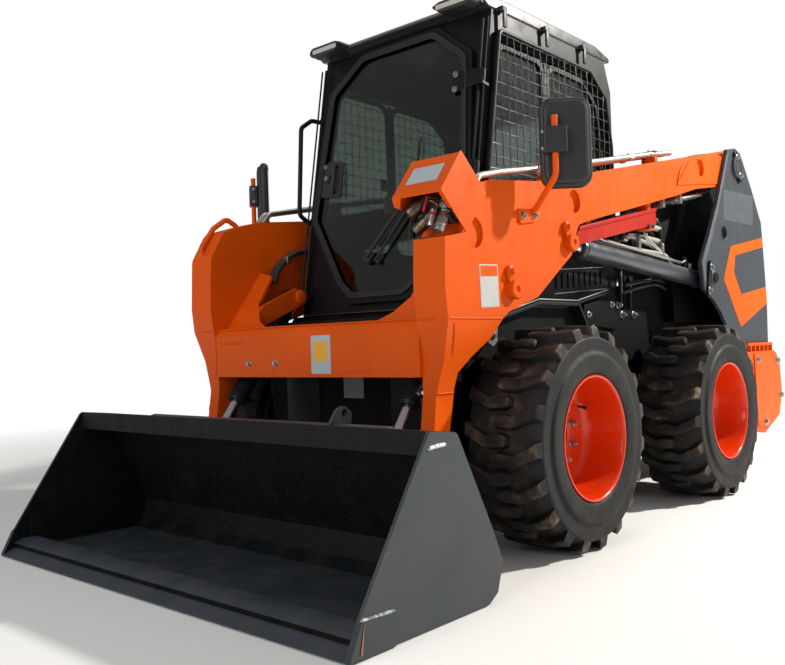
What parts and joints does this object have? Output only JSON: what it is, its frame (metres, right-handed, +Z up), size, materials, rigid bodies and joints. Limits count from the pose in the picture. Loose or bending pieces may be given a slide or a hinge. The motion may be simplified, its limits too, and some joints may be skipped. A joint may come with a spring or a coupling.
{
  "type": "skid steer loader",
  "caption": "Compact four-wheeled skid steer loader with a closed cab, radial lift arms and a wide open bucket.",
  "frame": {"origin": "on the ground under the middle of the overall box", "axes": "+X towards the bucket, +Y to the machine's left, +Z up"},
  "size_m": [3.845, 1.89, 2.152],
  "materials": {
    "orange_paint": "glossy orange paint",
    "red_paint": "glossy red paint",
    "grey_paint": "dark grey satin paint",
    "bucket_paint": "dark grey paint, scuffed",
    "black_paint": "black satin paint",
    "cover_paint": "dark grey satin paint",
    "rim_paint": "orange-red paint",
    "tyre": "black rubber with dust",
    "glass": "tinted",
    "plated_steel": "zinc plated",
    "chrome": "polished",
    "barrel_paint": "black paint",
    "black_plastic": "matt",
    "seat_vinyl": "black vinyl",
    "cast_iron": "rough"
  },
  "bodies": {
    "chassis": {"chassis_tub": "grey_paint", "axle_housings": "black_paint", "rear_corner_boxes": "orange_paint", "engine": "cast_iron", "side_panels": "black_paint", "fenders": "grey_paint", "tower_left": "grey_paint", "tower_right": "grey_paint", "cab_sides": "black_paint", "cab_front": "black_paint", "cab_rear": "black_paint", "cab_roof": "black_paint", "lamps": "black_plastic", "cab_glass": "glass", "side_screens": "black_paint", "seat": "seat_vinyl", "operator_controls": "black_plastic", "grab_handles": "black_paint"},
    "arm": {"arm_left": "orange_paint", "arm_right": "orange_paint", "cross_member": "orange_paint", "coupler_box": "orange_paint", "hydraulic_couplers": "plated_steel", "arm_guard": "orange_paint", "mirror_stalks": "orange_paint", "mirror_heads": "black_plastic", "arm_tubes": "plated_steel", "support_strut": "red_paint"},
    "bucket": {"coupler_frame": "bucket_paint", "bucket": "bucket_paint"},
    "lift_barrels": {"lift_barrels": "barrel_paint"},
    "lift_rods": {"lift_rods": "chrome"},
    "tilt_barrels": {"tilt_barrels": "barrel_paint"},
    "tilt_rods": {"tilt_rods": "chrome"},
    "door": {"door_frame": "black_paint", "door_glass": "glass"},
    "tailgate": {"tailgate": "cover_paint"},
    "hood": {"hood": "cover_paint"},
    "wheel_front_left": {"tyre_front_left": "tyre", "rim_front_left": "rim_paint"},
    "wheel_front_right": {"tyre_front_right": "tyre", "rim_front_right": "rim_paint"},
    "wheel_rear_left": {"tyre_rear_left": "tyre", "rim_rear_left": "rim_paint"},
    "wheel_rear_right": {"tyre_rear_right": "tyre", "rim_rear_right": "rim_paint"}
  },
  "joints": [
    {"name": "front_left_wheel_spin", "type": "hinge", "parent": "chassis", "child": "wheel_front_left", "pos_m": [0.5875, 0.74, 0.41], "axis": [0, 1, 0], "continuous": true},
    {"name": "front_right_wheel_spin", "type": "hinge", "parent": "chassis", "child": "wheel_front_right", "pos_m": [0.5875, -0.74, 0.41], "axis": [0, 1, 0], "continuous": true},
    {"name": "rear_left_wheel_spin", "type": "hinge", "parent": "chassis", "child": "wheel_rear_left", "pos_m": [-0.7225, 0.74, 0.41], "axis": [0, 1, 0], "continuous": true},
    {"name": "rear_right_wheel_spin", "type": "hinge", "parent": "chassis", "child": "wheel_rear_right", "pos_m": [-0.7225, -0.74, 0.41], "axis": [0, 1, 0], "continuous": true},
    {"name": "arm_lift", "type": "hinge", "parent": "chassis", "child": "arm", "pos_m": [-1.3895, 0, 1.687], "axis": [0, -1, 0], "range_deg": [0, 58]},
    {"name": "bucket_tilt", "type": "hinge", "parent": "arm", "child": "bucket", "pos_m": [1.1775, 0, 0.21], "axis": [0, 1, 0], "range_deg": [-28, 100]},
    {"name": "lift_barrel_swing", "type": "hinge", "parent": "chassis", "child": "lift_barrels", "pos_m": [-1.0225, 0, 1.065], "axis": [0, -1, 0], "range_deg": [0, 57.27]},
    {"name": "lift_rod_slide", "type": "slide", "parent": "lift_barrels", "child": "lift_rods", "axis": [0.9979, 0, 0.0651], "range_m": [0, 0.70002]},
    {"name": "tilt_barrel_swing", "type": "hinge", "parent": "arm", "child": "tilt_barrels", "pos_m": [0.8145, 0, 0.993], "axis": [0, 1, 0], "range_deg": [-0.85, 3.01]},
    {"name": "tilt_rod_slide", "type": "slide", "parent": "tilt_barrels", "child": "tilt_rods", "axis": [0.5915, 0, -0.8063], "range_m": [-0.09607, 0.34286]},
    {"name": "door_swing", "type": "hinge", "parent": "chassis", "child": "door", "pos_m": [0.67902, 0.47, 1.5], "axis": [-0.1641, 0, 0.9864], "range_deg": [0, 80]},
    {"name": "tailgate_swing", "type": "hinge", "parent": "chassis", "child": "tailgate", "pos_m": [-1.8245, -0.482, 0.78], "axis": [0, 0, 1], "range_deg": [0, 90]},
    {"name": "hood_lift", "type": "hinge", "parent": "chassis", "child": "hood", "pos_m": [-0.4605, 0, 1.354], "axis": [0, 1, 0], "range_deg": [0, 55]}
  ],
  "couplings": [
    {"joint": "lift_barrel_swing", "follows": "arm_lift", "ratio": 0.98731},
    {"joint": "lift_rod_slide", "follows": "arm_lift", "m_per_rad": 0.69142},
    {"joint": "tilt_barrel_swing", "follows": "bucket_tilt", "ratio": 0.029994},
    {"joint": "tilt_rod_slide", "follows": "bucket_tilt", "m_per_rad": 0.19639}
  ]
}
